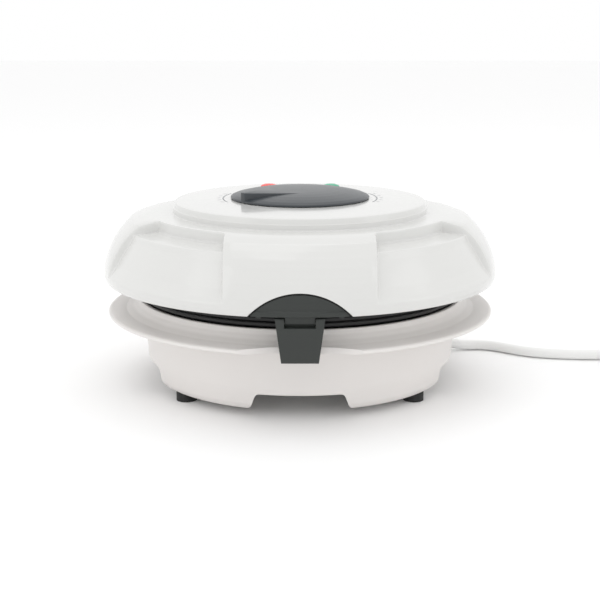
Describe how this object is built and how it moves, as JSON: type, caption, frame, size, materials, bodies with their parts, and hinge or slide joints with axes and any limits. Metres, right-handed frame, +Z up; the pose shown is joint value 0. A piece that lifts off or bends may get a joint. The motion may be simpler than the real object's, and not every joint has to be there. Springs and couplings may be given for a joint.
{
  "type": "donut maker",
  "caption": "Electric donut maker with a hinged domed lid, ring-shaped moulds in both plates, a dished base on short legs, a front latch and a thermostat knob.",
  "frame": {"origin": "on the table, under the middle of the bounding box of the appliance without its cord", "axes": "+Z up, -Y towards the user at the latch, +X to the user's right"},
  "size_m": [0.4133, 0.2668, 0.121],
  "materials": {
    "base_plastic": "satin white heat-resistant plastic",
    "cover_plastic": "matt light grey plastic",
    "screw_steel": "zinc-plated steel",
    "foot_rubber": "black rubber",
    "plate_metal": "cast aluminium with black non-stick coating",
    "element_steel": "heat-tinted steel sheath",
    "shield_metal": "bright aluminium sheet",
    "terminal_ceramic": "glazed steatite",
    "contact_brass": "bright brass",
    "wire_sleeve": "glass-fibre sleeving",
    "plug_white": "moulded white PVC",
    "cord_white": "white PVC sheath",
    "tie_plastic": "black plastic",
    "pin_metal": "nickel-plated",
    "lid_plastic": "glossy white heat-resistant plastic",
    "grip_plastic": "matt dark grey-green plastic",
    "fuse_gold": "gold-coloured fuse case",
    "red_lens": "translucent red",
    "green_lens": "translucent green",
    "lamp_glass": "clear glass",
    "knob_plastic": "satin slate grey plastic"
  },
  "bodies": {
    "base": {"base_shell": "base_plastic", "bottom_cover": "cover_plastic", "bottom_cover_screws": "screw_steel", "rubber_feet": "foot_rubber", "lower_plate": "plate_metal", "lower_plate_screws": "screw_steel", "lower_element": "element_steel", "lower_element_clips": "screw_steel", "lower_shield": "shield_metal", "shield_spacers": "screw_steel", "terminal_block": "terminal_ceramic", "terminal_screws": "contact_brass", "earth_terminal": "contact_brass", "cord_clamp": "cover_plastic", "cord_clamp_screws": "screw_steel", "base_wiring": "wire_sleeve", "hinge_pins": "screw_steel", "cord_gland": "plug_white", "power_cord": "cord_white", "cord_coil": "cord_white", "cord_tail": "cord_white", "cord_tie": "tie_plastic", "plug_body": "plug_white", "plug_pins": "pin_metal"},
    "lid": {"lid_shell": "lid_plastic", "grip_insert": "grip_plastic", "grip_screws": "screw_steel", "latch_pin": "screw_steel", "upper_plate": "plate_metal", "upper_plate_screws": "screw_steel", "upper_element": "element_steel", "upper_element_clips": "screw_steel", "upper_shield": "shield_metal", "upper_shield_posts": "screw_steel", "thermostat_body": "terminal_ceramic", "thermostat_bracket": "screw_steel", "thermostat_nut": "screw_steel", "thermal_fuse": "fuse_gold", "fuse_clip": "screw_steel", "red_lens": "red_lens", "green_lens": "green_lens", "indicator_lamps": "lamp_glass", "lamp_holder": "terminal_ceramic", "lid_wiring": "wire_sleeve"},
    "knob": {"thermostat_knob": "knob_plastic", "thermostat_shaft": "screw_steel", "knob_clip": "screw_steel"},
    "latch": {"latch_lever": "grip_plastic"}
  },
  "joints": [
    {"name": "lid_hinge", "type": "hinge", "parent": "base", "child": "lid", "pos_m": [0, 0.12065, 0.058], "axis": [-1, 0, 0], "range_deg": [0, 100]},
    {"name": "knob_turn", "type": "hinge", "parent": "lid", "child": "knob", "pos_m": [0, -0.00535, 0.1126], "axis": [0, 0, -1], "range_deg": [0, 253]},
    {"name": "latch_swing", "type": "hinge", "parent": "lid", "child": "latch", "pos_m": [0, -0.12255, 0.0626], "axis": [-1, 0, 0], "range_deg": [-4, 70]}
  ]
}
